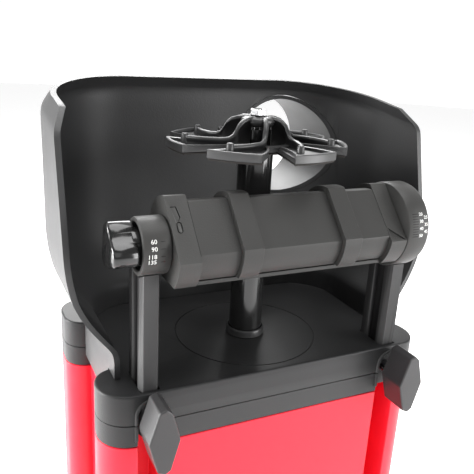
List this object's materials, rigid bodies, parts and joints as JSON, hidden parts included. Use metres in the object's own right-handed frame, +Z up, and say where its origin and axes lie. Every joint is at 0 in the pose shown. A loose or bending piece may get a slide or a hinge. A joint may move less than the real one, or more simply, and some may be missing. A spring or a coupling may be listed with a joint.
{
  "type": "motorised honing station with a tilting honing guide",
  "caption": "Bench honing machine: a slotted abrasive disc on an upright spindle under a flared hood, with a tilting tool guide on two clamped posts.",
  "frame": {"origin": "on the bench under the middle of the bounding box, at the underside of the rubber feet", "axes": "+Z up along the spindle; -Y towards the user, the side with the guide and the clamp knobs; +X to the user's right, the side with the dust port"},
  "size_m": [0.168, 0.1472, 0.3101],
  "materials": {
    "housing_red": "satin moulded red plastic with a fine even texture",
    "cap_black": "fine spark-eroded matt black plastic",
    "hood_black": "fine textured satin black plastic",
    "guide_grey": "warm dark grey powder coat, fine grained",
    "post_grey": "dark grey coat, edges slightly polished by the clamps",
    "knob_grey": "satin charcoal moulded plastic",
    "gloss_black": "glossy black",
    "satin_black": "satin black",
    "steel": "plain machined steel",
    "motor_grey": "zinc plated drawn steel",
    "rubber": "black rubber",
    "abrasive": "brown abrasive grit on a cloth backing",
    "circuit_board": "green solder mask on glass-fibre laminate"
  },
  "bodies": {
    "machine": {"housing": "housing_red", "cap_top": "cap_black", "cap_lower_ring": "cap_black", "hood": "hood_black", "dust_port": "hood_black", "spindle_seal": "satin_black", "upper_bearing": "steel", "lower_bearing": "steel", "motor_can": "motor_grey", "motor_bracket": "steel", "base_plate": "satin_black", "switch_bezel": "satin_black", "power_inlet": "satin_black", "control_board": "circuit_board", "foot_front_left": "rubber", "foot_screw_front_left": "steel", "bracket_screw_front_left": "steel", "foot_front_right": "rubber", "foot_screw_front_right": "steel", "bracket_screw_front_right": "steel", "foot_rear_left": "rubber", "foot_screw_rear_left": "steel", "bracket_screw_rear_left": "steel", "foot_rear_right": "rubber", "foot_screw_rear_right": "steel", "bracket_screw_rear_right": "steel"},
    "rotor": {"spindle": "gloss_black", "fan_disc": "satin_black", "abrasive_disc": "abrasive", "arbor_nut": "steel", "motor_rotor": "steel"},
    "guide": {"post_left": "post_grey", "post_right": "post_grey", "index_ring": "guide_grey", "angle_dial": "guide_grey", "rest_shaft": "steel"},
    "tool_rest": {"rest_barrel": "guide_grey", "rest_cradle": "guide_grey", "rest_collar_left": "guide_grey", "rest_collar_right": "guide_grey"},
    "lock_knob": {"lock_knob": "gloss_black"},
    "clamp_left": {"clamp_knob_left": "knob_grey", "clamp_stud_left": "steel"},
    "clamp_right": {"clamp_knob_right": "knob_grey", "clamp_stud_right": "steel"},
    "rocker": {"switch_rocker": "gloss_black"}
  },
  "joints": [
    {"name": "spindle_spin", "type": "hinge", "parent": "machine", "child": "rotor", "pos_m": [0, -0.0212, 0.22], "axis": [0, 0, 1], "continuous": true},
    {"name": "guide_slide", "type": "slide", "parent": "machine", "child": "guide", "axis": [0, 0, 1], "range_m": [-0.024, 0.004]},
    {"name": "rest_tilt", "type": "hinge", "parent": "guide", "child": "tool_rest", "pos_m": [0, -0.0489, 0.2562], "axis": [1, 0, 0], "range_deg": [-38, 2]},
    {"name": "lock_turn", "type": "hinge", "parent": "guide", "child": "lock_knob", "pos_m": [-0.066, -0.0489, 0.2562], "axis": [-1, 0, 0], "range_deg": [0, 180]},
    {"name": "clamp_left_turn", "type": "hinge", "parent": "guide", "child": "clamp_left", "pos_m": [-0.0565, -0.0674, 0.189], "axis": [0, -1, 0], "range_deg": [0, 90]},
    {"name": "clamp_right_turn", "type": "hinge", "parent": "guide", "child": "clamp_right", "pos_m": [0.0565, -0.0674, 0.189], "axis": [0, -1, 0], "range_deg": [0, 90]},
    {"name": "switch_rock", "type": "hinge", "parent": "machine", "child": "rocker", "pos_m": [0, -0.0559, 0.048], "axis": [1, 0, 0], "range_deg": [0, 16]}
  ]
}
